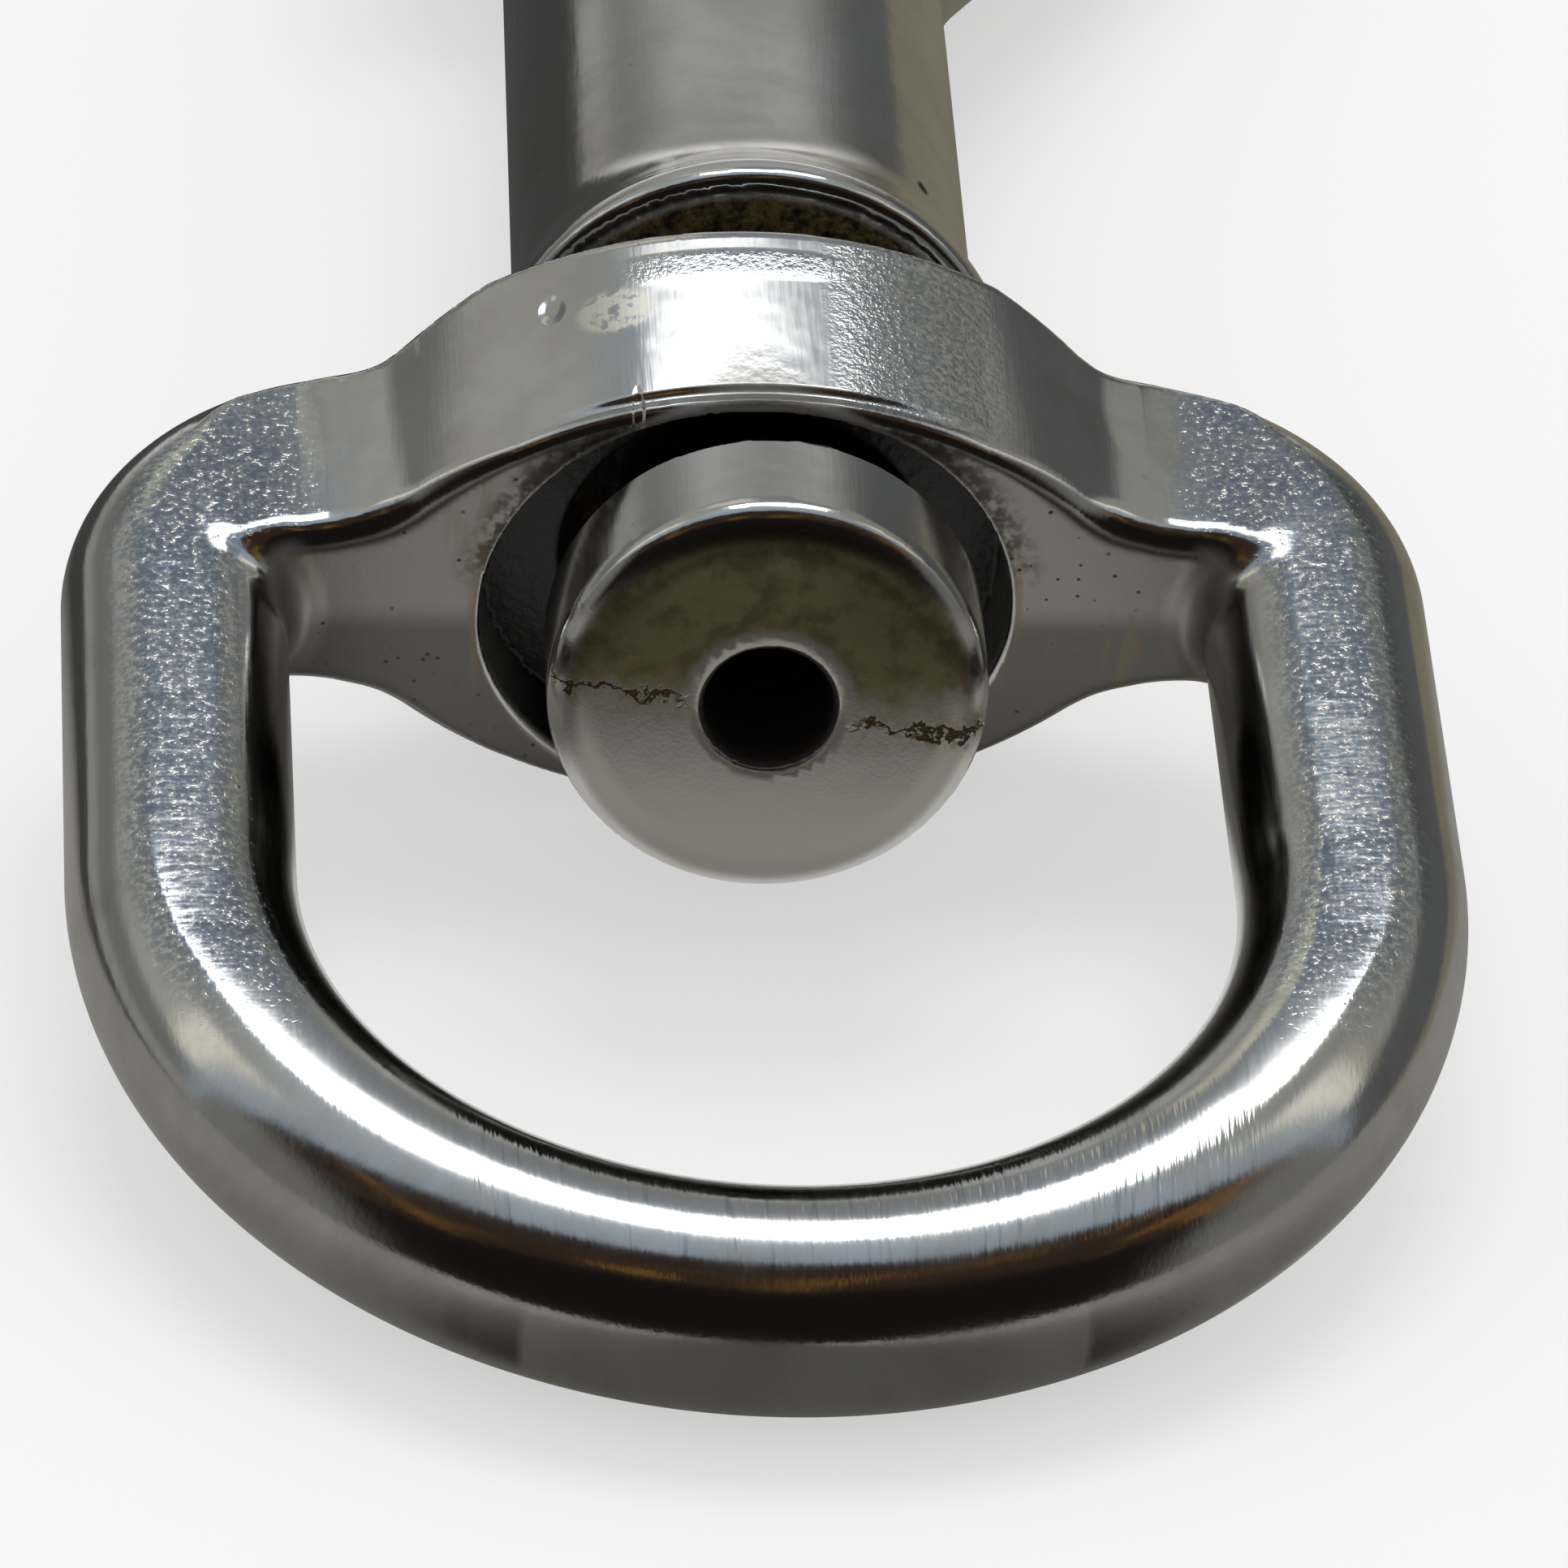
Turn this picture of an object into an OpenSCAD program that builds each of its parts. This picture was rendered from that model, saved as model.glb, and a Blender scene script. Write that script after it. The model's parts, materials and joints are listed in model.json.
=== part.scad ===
/* [Barrel] */
// Diameter of the barrel
barrel_d = 11.9; // [11:0.1:14]
// Length of the barrel from its rear collar's face to its mouth
barrel_l = 46; // [44:0.1:48]
// How far the collars at the two ends stand out from the barrel
collar_proud = 0.85; // [0.7:0.05:1.6]
// Width of a collar's rim
collar_rim = 0.9; // [0.6:0.1:1.6]
// Radius of the hollow flare between a collar and the barrel
flare_r = 8; // [4:0.1:9]
// Rounding of the rims of the collars and the nose
rim_round = 0.4; // [0.2:0.05:0.45]

/* [Swivel stud] */
// Distance from the middle of the eye's hub to the rear collar's face
collar_gap = 2.5; // [2.3:0.1:4]
// Diameter of the neck that the eye turns on
neck_d = 6.8; // [6:0.1:7.2]
// Diameter of the head that holds the eye
head_d = 10.8; // [10:0.1:12]
// Distance from the middle of the eye's hub to the back of the head
head_back = 8.5; // [7.8:0.1:9]
// Thickness of the head
head_t = 3.9; // [3:0.1:5]
// Rounding of the head's front edge
head_round = 1.25; // [0.6:0.05:1.5]
// Rounding of the head's back edge
head_back_round = 0.3; // [0.1:0.05:0.5]
// Diameter of the hole through the stud
stud_hole_d = 3.2; // [2.4:0.1:3.8]

/* [Swivel eye] */
// Distance between the middles of the two legs
eye_w = 28.4; // [27:0.1:34]
// Distance from the middle of the hub to the middle of the bar at the bow
eye_l = 30.1; // [27:0.1:36]
// Width of the bar in the plane of the ring
bar_w = 5.6; // [5:0.1:6.2]
// Thickness of the bar across the ring
bar_t = 5.2; // [4.8:0.1:5.6]
// Radius of the shoulders at the middle of the bar
shoulder_r = 5; // [4.5:0.1:7]
// Distance from the middle of the hub down to the middle of the shoulders
shoulder_drop = 1.1; // [0.6:0.1:1.5]
// Play of the eye's bore on the neck, on each side
eye_play = 1.1; // [1.05:0.05:1.25]
// How far the eye lies off the middle in its play, to the left
eye_side = 0.5; // [0:0.1:0.6]
// Turn of the eye in its play, seen from above, in degrees
eye_yaw = 1.9; // [0:0.1:2.4]

/* [Hub of the eye] */
// Height of the hub across the ring
hub_h = 13.9; // [13.7:0.1:15]
// Radius of the hub's upper and lower crown
hub_crown_r = 12.4; // [11:0.1:14]
// Radius of the hollows between the crown and the shoulders
hub_hollow_r = 4; // [3.5:0.1:6]
// Distance from the middle of the hub to its back face
hub_back = 0.8; // [0.3:0.1:0.8]
// Half width of the hub's back face
hub_back_w = 6.4; // [5.5:0.1:7]
// How far the back of the hub falls away to the shoulders
hub_fall = 1.9; // [1.5:0.1:2.4]
// Distance from the middle of the hub to the ridge along its front
hub_front = 6.1; // [5.6:0.1:6.6]
// Slope of the two front faces away from the ridge, in degrees
front_draft = 3; // [1:0.5:6]
// Diameter of the recess in the front
recess_d = 13.2; // [12.4:0.1:13.3]
// Depth of the recess from the ridge
recess_deep = 2.5; // [1.5:0.1:3]

/* [Bolt and spring] */
// Diameter of the bolt
bolt_d = 6.3; // [5.5:0.1:6.6]
// Length of the bolt
bolt_l = 25.5; // [24.5:0.5:27]
// How far the bolt draws back
bolt_travel = 12.6; // [11:0.1:12.8]
// Rounding of the bolt's tip
bolt_round = 0.8; // [0.4:0.1:1.2]
// Clearance of the bolt in its bore, on each side
bolt_clear = 0.05; // [0.03:0.01:0.08]
// Distance from the rear collar's face to the floor of the bore
bore_floor = 14; // [12:0.1:15]
// Diameter of the spring's wire
wire_d = 0.6; // [0.5:0.05:0.65]
// Outer diameter of the spring
spring_d = 5.6; // [5:0.1:5.7]
// Number of turns of the spring
spring_turns = 9; // [8:1:11]

/* [Thumb knob] */
// Distance from the bolt's rear end to the knob's stem
stem_y = 4.6; // [4:0.1:6]
// Diameter of the knob's stem
stem_d = 3; // [2.6:0.1:3.4]
// Clearance of the stem in the bolt, on each side
stem_clear = 0.02; // [0.01:0.01:0.04]
// Clearance of the stem in the slot, on each side
slot_clear = 0.3; // [0.2:0.05:0.5]
// Diameter of the knob
knob_d = 7.6; // [6.5:0.1:8.5]
// Thickness of the knob
knob_t = 3; // [2.5:0.1:4]
// Radius of the knob's domed top
knob_dome_r = 7; // [5:0.1:12]
// Gap between the knob and the barrel's side
knob_gap = 0.6; // [0.3:0.1:1]

/* [Hook] */
// Diameter of the hook's arm
arm_d = 6.6; // [6:0.1:7.4]
// Clear width between the bolt and the arm
hook_w = 10.6; // [9:0.1:13]
// Clear opening between the barrel's mouth and the nose
throat = 12.4; // [11:0.1:13]
// Distance from the rear collar's face to where the arm leaves the barrel
root_y = 25; // [21:0.1:26]
// Angle at which the arm leaves the barrel
root_bend = 30; // [29:1:34]
// Radius of the bend above the arm's root
root_bend_r = 16; // [12:0.5:20]
// Diameter at which the root's cone starts inside the arm
root_start_d = 5.4; // [4:0.1:5.8]
// Diameter of the arm at its root
root_d = 8.4; // [7.4:0.1:9.4]
// Diameter of the nose
nose_d = 9; // [8.6:0.1:10]
// Length of the nose
nose_l = 2.8; // [2:0.1:4]
// Depth of the nose's seat for the bolt
seat_deep = 1; // [0.6:0.1:1.4]
// Clearance of the bolt in its seat
seat_clear = 0.35; // [0.3:0.05:0.5]
// Gap between the bolt's tip and the floor of its seat
tip_gap = 0.1; // [0.05:0.05:0.2]

/* [Hidden] */
$fn = 96;
// How far a cut passes its face, or one solid runs on into another
over = 1;

// Along the barrel, from the middle of the hub
mouth_y = collar_gap + barrel_l;
floor_y = collar_gap + bore_floor;
nose_y = mouth_y + throat;
seat_y = nose_y + seat_deep;
tip_y = seat_y - tip_gap;
bolt_y = tip_y - bolt_l;
knob_y = bolt_y + stem_y;
collar_d = barrel_d + 2 * collar_proud;
flare_l = sqrt(pow(flare_r, 2) - pow(flare_r - collar_proud, 2));

// The hook's arm
arm_x = bolt_d / 2 + hook_w + arm_d / 2;
arch_r = arm_x / 2;
arch_y = nose_y + nose_l - over;
root =[barrel_d - root_d * cos(root_bend), 2 * collar_gap + 2 * root_y + root_d * sin(root_bend)] / 2;
root_l = (arm_x - root_bend_r * (1 - cos(root_bend)) - root[0]) / sin(root_bend);
bend_end = root + root_l * [sin(root_bend), cos(root_bend)];
bend_y = bend_end[1] + root_bend_r * sin(root_bend);

// The slot
slot_w = stem_d + 2 * slot_clear;
slot_front = knob_y + slot_w / 2;
slot_rear = knob_y - bolt_travel - slot_w / 2;

// The eye
bow_r = eye_w / 2;
bow_y = eye_l - bow_r;
shoulder_x = bow_r - shoulder_r;
shoulder_y = shoulder_drop + shoulder_r;
bore_d = neck_d + 2 * eye_play;
hub_end = bow_r - bar_w / 4;
crown_z = hub_crown_r - hub_h / 2;
front_edge = hub_front - hub_h / 2 * tan(front_draft);

// The eye lies on its hub's lower edge and on its bow, at this angle
bow_far = bow_r + bow_y * cos(eye_yaw);
edge_run = bow_far - front_edge * cos(eye_yaw);
eye_lie = atan2(hub_h / 2, edge_run) - asin(bar_t / 2 / norm([hub_h / 2, edge_run]));
axis_h = bow_far * sin(eye_lie) + norm([bar_w / 2 * sin(eye_lie), bar_t / 2 * cos(eye_lie)]);

// The barrel slopes down from the hub until its front collar touches
nose_down = asin(axis_h / norm([mouth_y, collar_d / 2])) - atan2(collar_d / 2, mouth_y);

// The body rolls over until the arm's arch touches
arch_h = (axis_h - arch_y * sin(nose_down) - arm_d / 2) / arch_r;
roll = asin((pow(arch_h, 2) - pow(sin(nose_down), 2)) / (2 * arch_h * cos(nose_down)));

// How far it all reaches from the middle of the hub
rear_reach = bow_far * cos(eye_lie) + norm([bar_w / 2 * cos(eye_lie), bar_t / 2 * sin(eye_lie)]);
front_reach = arch_y * cos(nose_down) - arch_r * sin(roll) * sin(nose_down)
    + arch_r * norm([cos(nose_down), sin(roll) * sin(nose_down)]) + arm_d / 2;
left_reach = shoulder_x * cos(eye_yaw) - shoulder_y * sin(eye_yaw) + shoulder_r + bar_w / 2 + eye_side;
right_reach = 2 * arch_r * cos(roll) + arm_d / 2;

// Steps of the curves that are computed point by point
section_steps = 40;
spring_sides = 8;
spring_steps = 18;
end_turns = 1;

// Puts the piece down with the origin under the middle of the whole
module place() {
    translate([(left_reach - right_reach) / 2, (rear_reach - front_reach) / 2, axis_h])
        children();
}

// Lays the barrel, and what it holds, as it comes to rest
module lay_body() {
    place()
        rotate([-nose_down, 0, 0])
            rotate([0, roll, 0])
                children();
}

// Turns a shape made along Z to lie along Y
module along_y() {
    rotate([-90, 0, 0])
        children();
}

// What is cut off an outer corner at the origin to round it
module corner(r) {
    difference() {
        translate([-r, -r])
            square([r + over, r + over]);
        translate([-r, -r])
            circle(r);
        translate([-r - over, -r - over])
            square([over, 2 * over + r]);
        translate([-r - over, -r - over])
            square([2 * over + r, over]);
    }
}

// Half section of a collar with its flare, its face at zero
module collar_section() {
    difference() {
        square([collar_d / 2, collar_rim + flare_l]);
        translate([barrel_d / 2 + flare_r, collar_rim + flare_l])
            circle(flare_r);
        translate([collar_d / 2, 0])
            mirror([0, 1])
                corner(rim_round);
    }
}

// Half section of the stud's head, its front face at zero
module head_section() {
    difference() {
        square([head_d / 2, head_t]);
        translate([head_d / 2, 0])
            mirror([0, 1])
                corner(head_round);
        translate([head_d / 2, head_t])
            corner(head_back_round);
    }
}

module barrel() {
    along_y()
        rotate_extrude() {
            translate([0, collar_gap])
                square([barrel_d / 2, barrel_l]);
            translate([0, collar_gap])
                collar_section();
            translate([0, mouth_y])
                mirror([0, 1])
                    collar_section();
            translate([0, -head_back - over])
                square([neck_d / 2, head_back + collar_gap + 2 * over]);
            translate([0, -head_back - head_t])
                head_section();
        }
}

// Round or oval section of a bar
module bar_section(w, t) {
    polygon([for (i = [0:section_steps - 1])
        [w / 2 * cos(360 * i / section_steps), t / 2 * sin(360 * i / section_steps)]]);
}

module arm() {
    translate([arm_x / 2, arch_y, 0])
        rotate_extrude(angle = 180)
            translate([arch_r, 0])
                bar_section(arm_d, arm_d);
    translate([arm_x, arch_y, 0])
        rotate([90, 0, 0])
            linear_extrude(arch_y - bend_y)
                bar_section(arm_d, arm_d);
    translate([arm_x - root_bend_r, bend_y, 0])
        rotate([0, 0, -root_bend])
            rotate_extrude(angle = root_bend)
                translate([root_bend_r, 0])
                    bar_section(arm_d, arm_d);
    translate([bend_end[0], bend_end[1], 0])
        rotate([0, 0, -root_bend])
            rotate([90, 0, 0]) {
                linear_extrude(root_l)
                    bar_section(arm_d, arm_d);
                translate([0, 0, over])
                    cylinder(d1 = root_start_d, d2 = root_d, h = root_l - over);
            }
}

module nose() {
    translate([0, nose_y, 0])
        along_y()
            rotate_extrude()
                difference() {
                    square([nose_d / 2, nose_l]);
                    translate([nose_d / 2, 0])
                        mirror([0, 1])
                            corner(rim_round);
                    translate([nose_d / 2, nose_l])
                        corner(head_round);
                }
}

// Outline of a slot that runs along Y, drawn in the XY plane
module slot_outline(rear, front, w) {
    translate([0, rear + w / 2])
        circle(d = w);
    translate([0, front - w / 2])
        circle(d = w);
    translate([-w / 2, rear + w / 2])
        square([w, front - rear - w]);
}

module hook_body() {
    color([0.72, 0.71, 0.69])
        lay_body()
            difference() {
                union() {
                    barrel();
                    arm();
                    nose();
                }
                translate([0, floor_y, 0])
                    along_y()
                        cylinder(d = bolt_d + 2 * bolt_clear, h = barrel_l);
                translate([0, nose_y - over, 0])
                    along_y()
                        cylinder(d = bolt_d + 2 * seat_clear, h = over + seat_deep);
                translate([0, -head_back - head_t - over, 0])
                    along_y()
                        cylinder(d = stud_hole_d, h = head_back + head_t + floor_y + 2 * over);
                rotate([0, -90, 0])
                    linear_extrude(barrel_d)
                        slot_outline(slot_rear, slot_front, slot_w);
            }
}

module half_ring() {
    translate([0, -bow_y, 0])
        rotate([0, 0, -90])
            rotate_extrude(angle = 90)
                translate([bow_r, 0])
                    bar_section(bar_w, bar_t);
    translate([bow_r, -shoulder_y, 0])
        rotate([90, 0, 0])
            linear_extrude(bow_y - shoulder_y)
                bar_section(bar_w, bar_t);
    translate([shoulder_x, -shoulder_y, 0])
        rotate_extrude(angle = 90)
            translate([shoulder_r, 0])
                bar_section(bar_w, bar_t);
    translate([shoulder_x, -shoulder_drop, 0])
        rotate_extrude()
            intersection() {
                bar_section(bar_w, bar_t);
                translate([0, -bar_t])
                    square(2 * bar_t);
            }
}

// Outline of the hub seen along the stud, in the XZ plane
module hub_outline() {
    hollow = [
        sqrt(pow(hub_crown_r + hub_hollow_r, 2) - pow(bar_t / 2 + hub_hollow_r + crown_z, 2)),
        bar_t / 2 + hub_hollow_r
    ];
    meet = hollow * hub_crown_r / (hub_crown_r + hub_hollow_r)
        - [0, crown_z * hub_hollow_r / (hub_crown_r + hub_hollow_r)];
    intersection() {
        translate([0, -crown_z])
            circle(hub_crown_r);
        translate([0, crown_z])
            circle(hub_crown_r);
    }
    square([2 * hollow[0], bar_t], center = true);
    for (x = [-1, 1], z = [-1, 1])
        scale([x, z])
            difference() {
                polygon([[0, 0], meet, [hollow[0], meet[1]], [hollow[0], 0]]);
                translate(hollow)
                    circle(hub_hollow_r);
            }
}

module hub() {
    intersection() {
        translate([0, hub_back, 0])
            rotate([90, 0, 0])
                linear_extrude(hub_back + hub_front + over)
                    hub_outline();
        rotate([0, 90, 0])
            linear_extrude(2 * hub_end, center = true)
                polygon([
                    [0, -hub_front],
                    [hub_h, -hub_front + hub_h * tan(front_draft)],
                    [hub_h, hub_back + over],
                    [-hub_h, hub_back + over],
                    [-hub_h, -hub_front + hub_h * tan(front_draft)]
                ]);
        translate([0, 0, -hub_h])
            linear_extrude(2 * hub_h)
                polygon([
                    [-hub_end, -hub_front - over],
                    [hub_end, -hub_front - over],
                    [hub_end, hub_back - hub_fall],
                    [hub_back_w, hub_back],
                    [-hub_back_w, hub_back],
                    [-hub_end, hub_back - hub_fall]
                ]);
    }
}

module swivel_eye() {
    color([0.7, 0.69, 0.68])
        place()
            translate([-eye_side, 0, 0])
                rotate([eye_lie, 0, 0])
                    rotate([0, 0, eye_yaw])
                        difference() {
                            union() {
                                half_ring();
                                mirror([1, 0, 0])
                                    half_ring();
                                hub();
                            }
                            translate([0, -hub_front - over, 0])
                                along_y()
                                    cylinder(d = recess_d, h = over + recess_deep);
                            translate([0, -hub_front - over, 0])
                                along_y()
                                    cylinder(d = bore_d, h = hub_front + hub_back + 2 * over);
                        }
}

module bolt() {
    color([0.6, 0.6, 0.6])
        lay_body()
            difference() {
                translate([0, bolt_y, 0])
                    along_y()
                        rotate_extrude()
                            difference() {
                                square([bolt_d / 2, bolt_l]);
                                translate([bolt_d / 2, bolt_l])
                                    corner(bolt_round);
                            }
                translate([0, knob_y, 0])
                    rotate([0, -90, 0])
                        cylinder(d = stem_d + 2 * stem_clear, h = bolt_d);
            }
}

module thumb_knob() {
    stem_top = barrel_d / 2 + knob_gap;
    color([0.66, 0.66, 0.65])
        lay_body()
            translate([0, knob_y, 0])
                rotate([0, -90, 0]) {
                    cylinder(d = stem_d, h = stem_top + over);
                    translate([0, 0, stem_top])
                        intersection() {
                            cylinder(d = knob_d, h = knob_t);
                            translate([0, 0, knob_t - knob_dome_r])
                                sphere(knob_dome_r);
                        }
                }
}

// How far along the spring the wire has risen after a number of turns, with the end turns closed
function rise(t) =
    t < end_turns ? t * wire_d
    : t > spring_turns - end_turns ? spring_l - wire_d - (spring_turns - t) * wire_d
    : end_turns * wire_d
        + (t - end_turns) / (spring_turns - 2 * end_turns) * (spring_l - wire_d - 2 * end_turns * wire_d);

spring_l = bolt_y - floor_y;
coil_r = (spring_d - wire_d) / 2;

module spring() {
    rings = spring_turns * spring_steps;
    points = [for (i = [0:rings], j = [0:spring_sides - 1])
        let (a = 360 * i / spring_steps, b = 360 * j / spring_sides)
            [(coil_r + wire_d / 2 * cos(b)) * cos(a),
             floor_y + wire_d / 2 + rise(i / spring_steps) + wire_d / 2 * sin(b),
             (coil_r + wire_d / 2 * cos(b)) * sin(a)]];
    sides = [for (i = [0:rings - 1], j = [0:spring_sides - 1])
        let (k = (j + 1) % spring_sides)
            [i * spring_sides + j, i * spring_sides + k,
             (i + 1) * spring_sides + k, (i + 1) * spring_sides + j]];
    ends = [
        [for (j = [spring_sides - 1:-1:0]) j],
        [for (j = [0:spring_sides - 1]) rings * spring_sides + j]
    ];
    color([0.5, 0.5, 0.5])
        lay_body()
            polyhedron(points, concat(sides, ends), convexity = 10);
}

hook_body();
swivel_eye();
bolt();
spring();
thumb_knob();
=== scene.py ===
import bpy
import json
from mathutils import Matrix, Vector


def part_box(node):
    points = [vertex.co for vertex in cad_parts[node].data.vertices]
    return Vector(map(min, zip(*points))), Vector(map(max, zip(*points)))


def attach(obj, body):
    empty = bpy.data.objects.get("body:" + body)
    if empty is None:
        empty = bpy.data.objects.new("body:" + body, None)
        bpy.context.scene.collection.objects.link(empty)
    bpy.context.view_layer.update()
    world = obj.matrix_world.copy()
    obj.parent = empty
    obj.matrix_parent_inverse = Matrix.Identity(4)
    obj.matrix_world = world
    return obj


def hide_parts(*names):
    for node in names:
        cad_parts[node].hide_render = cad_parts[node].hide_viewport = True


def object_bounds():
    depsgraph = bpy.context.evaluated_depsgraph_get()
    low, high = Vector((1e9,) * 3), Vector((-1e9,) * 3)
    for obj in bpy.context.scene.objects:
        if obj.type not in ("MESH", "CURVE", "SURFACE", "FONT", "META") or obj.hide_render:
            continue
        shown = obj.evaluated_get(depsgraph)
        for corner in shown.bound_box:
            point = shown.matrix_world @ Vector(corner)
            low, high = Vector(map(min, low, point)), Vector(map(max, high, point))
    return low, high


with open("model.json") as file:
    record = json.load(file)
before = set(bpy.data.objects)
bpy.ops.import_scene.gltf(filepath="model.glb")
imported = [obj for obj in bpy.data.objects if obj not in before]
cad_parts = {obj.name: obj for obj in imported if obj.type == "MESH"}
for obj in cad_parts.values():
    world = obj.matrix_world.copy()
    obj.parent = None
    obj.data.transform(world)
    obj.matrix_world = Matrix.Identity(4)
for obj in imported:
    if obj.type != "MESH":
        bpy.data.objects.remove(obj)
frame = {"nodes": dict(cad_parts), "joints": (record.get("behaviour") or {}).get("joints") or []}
cad_box = [list(corner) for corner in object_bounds()]

import json
import math

import bpy
import numpy as np
from mathutils import Matrix, Vector

# Hook body: barrel, collars, swivel stud, arm and nose are one zinc casting, bored for the
# bolt, slotted for the thumb knob and plated with nickel. The casting's corners are rounded
# and its arm flows into the barrel, so its skin is drawn from a smooth field of distances.
MM = 0.001
swivel = next(joint for joint in frame["joints"] if joint["name"] == "eye_swivel")
hub_centre = Vector(swivel["pos_m"])
nose_down = math.asin(-swivel["axis"][2])

barrel_d = 11.9
barrel_l = 46
collar_proud = 0.85
collar_rim = 0.9
flare_r = 8
rim_round = 0.4
collar_gap = 2.5
neck_d = 6.8
head_d = 10.8
head_back = 8.5
head_t = 3.9
head_round = 1.25
head_slim = 1.6
head_back_round = 0.3
stud_hole_d = 3.2
run_on = 1
bolt_d = 6.3
bolt_clear = 0.05
bore_floor = 14
bolt_l = 25.5
bolt_travel = 12.6
stem_y = 4.6
stem_d = 3
slot_clear = 0.3
tip_gap = 0.1
arm_d = 6.6
hook_w = 10.6
throat = 12.4
root_y = 25
root_bend = math.radians(30)
root_bend_r = 16
root_d = 8.4
root_fillet = 1.6
nose_d = 9
nose_l = 2.8
nose_fillet = 0.8
seat_deep = 1
seat_clear = 0.35
cut_round = 0.15
hole_round = 0.3

collar_d = barrel_d + 2 * collar_proud
mouth_y = collar_gap + barrel_l
nose_y = mouth_y + throat
seat_y = nose_y + seat_deep
knob_y = seat_y - tip_gap - bolt_l + stem_y
flare_l = math.sqrt(flare_r**2 - (flare_r - collar_proud) ** 2)
arm_x = bolt_d / 2 + hook_w + arm_d / 2
arch_r = arm_x / 2
arch_y = nose_y + nose_l - run_on
root = np.array([
    (barrel_d - root_d * math.cos(root_bend)) / 2,
    collar_gap + root_y + root_d * math.sin(root_bend) / 2,
])
root_l = (arm_x - root_bend_r * (1 - math.cos(root_bend)) - root[0]) / math.sin(root_bend)
bend_end = root + root_l * np.array([math.sin(root_bend), math.cos(root_bend)])
bend_y = bend_end[1] + root_bend_r * math.sin(root_bend)
slot_w = stem_d + 2 * slot_clear
arch_h = (hub_centre.z / MM - arch_y * math.sin(nose_down) - arm_d / 2) / arch_r
roll = math.asin((arch_h**2 - math.sin(nose_down) ** 2) / (2 * arch_h * math.cos(nose_down)))
body_place = (
    Matrix.Translation(hub_centre)
    @ Matrix.Rotation(-nose_down, 4, "X")
    @ Matrix.Rotation(roll, 4, "Y")
)


def join_round(a, b, r):
    """Union of two fields with a fillet of radius r where they meet at right angles."""
    return np.maximum(r, np.minimum(a, b)) - np.hypot(np.maximum(r - a, 0), np.maximum(r - b, 0))


def meet_round(a, b, r):
    """What is inside both fields, with its edge rounded to radius r."""
    return np.minimum(-r, np.maximum(a, b)) + np.hypot(np.maximum(r + a, 0), np.maximum(r + b, 0))


def cut_round_off(a, b, r):
    """The first field less the second, with the edge of the cut rounded to radius r."""
    return meet_round(a, -b, r)


def rod(across, along, r, start, end, start_round, end_round):
    """A cylinder of radius r from start to end, with its two rims rounded."""
    return meet_round(meet_round(across - r, start - along, start_round), along - end, end_round)


def body_field(p):
    """Signed distance in mm to the hook body, +Y along the barrel from the hub's middle."""
    x, y, z = p.T
    across = np.hypot(x, z)
    barrel = rod(across, y, barrel_d / 2, collar_gap, mouth_y, rim_round, rim_round)
    for face, way in ((collar_gap, 1), (mouth_y, -1)):
        along = way * (y - face)
        collar = rod(across, along, collar_d / 2, 0, collar_rim + flare_l, rim_round, 0.02)
        hollow = np.hypot(across - barrel_d / 2 - flare_r, along - collar_rim - flare_l) - flare_r
        barrel = np.minimum(barrel, cut_round_off(collar, hollow, cut_round))
    neck = rod(across, y, neck_d / 2, -head_back - 1, collar_gap + 1, 0.1, 0.1)
    start, end = -head_slim * (head_back + head_t), -head_slim * head_back
    head = rod(across, head_slim * y, head_d / 2, start, end, head_round, head_back_round)
    stud = join_round(join_round(barrel, neck, 0.5), head, 0.4)

    arch = np.hypot(x - arch_r, np.maximum(y - arch_y, 0)) - arch_r
    arch = np.hypot(np.abs(arch), z)
    straight = np.hypot(x - arm_x, z) + np.maximum(y - arch_y - 0.01, 0) + np.maximum(bend_y - y, 0)
    turn = np.arctan2(bend_y - y, x - arm_x + root_bend_r)
    bend = np.hypot(np.hypot(x - arm_x + root_bend_r, y - bend_y) - root_bend_r, z)
    bend = np.where((turn >= 0) & (turn <= root_bend), bend, 99.0)
    s = (x - root[0]) * math.sin(root_bend) + (y - root[1]) * math.cos(root_bend)
    t = (x - root[0]) * math.cos(root_bend) - (y - root[1]) * math.sin(root_bend)
    cone = (root_d - arm_d) / 2 * np.clip(1 - s / root_l, 0, 1) ** 2
    leg = np.hypot(t, z) - cone + np.maximum(s - root_l, 0) + 0.12 * np.maximum(1.5 - s, 0) ** 2
    arch = np.where(y >= arch_y, arch, np.where(x < arch_r, np.hypot(x, z) + 2 * (arch_y - y), 99.0))
    arm = np.minimum(np.minimum(arch, straight), np.minimum(bend, leg)) - arm_d / 2
    nose = rod(across, y, nose_d / 2, nose_y, nose_y + nose_l, rim_round, head_round)
    whole = join_round(join_round(stud, arm, root_fillet), nose, nose_fillet)

    bore = rod(across, y, bolt_d / 2 + bolt_clear, collar_gap + bore_floor, mouth_y + 1, 0.3, 0.1)
    seat = rod(across, y, bolt_d / 2 + seat_clear, nose_y - 1, seat_y, 0.1, 0.3)
    hole = across - stud_hole_d / 2 + np.maximum(y - mouth_y, 0)
    slot_rear, slot_front = knob_y - bolt_travel, knob_y
    slot = np.hypot(y - np.clip(y, slot_rear, slot_front), z) - slot_w / 2
    slot = meet_round(slot, x, 0.1)
    for cut in (bore, seat, slot):
        whole = cut_round_off(whole, cut, cut_round)
    return cut_round_off(whole, hole, hole_round)


def gradient(field, p, reach=0.01):
    """Slope of a field at each point, by central differences."""
    steps = np.eye(3) * reach
    return np.stack([(field(p + step) - field(p - step)) / (2 * reach) for step in steps], axis=1)


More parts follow.
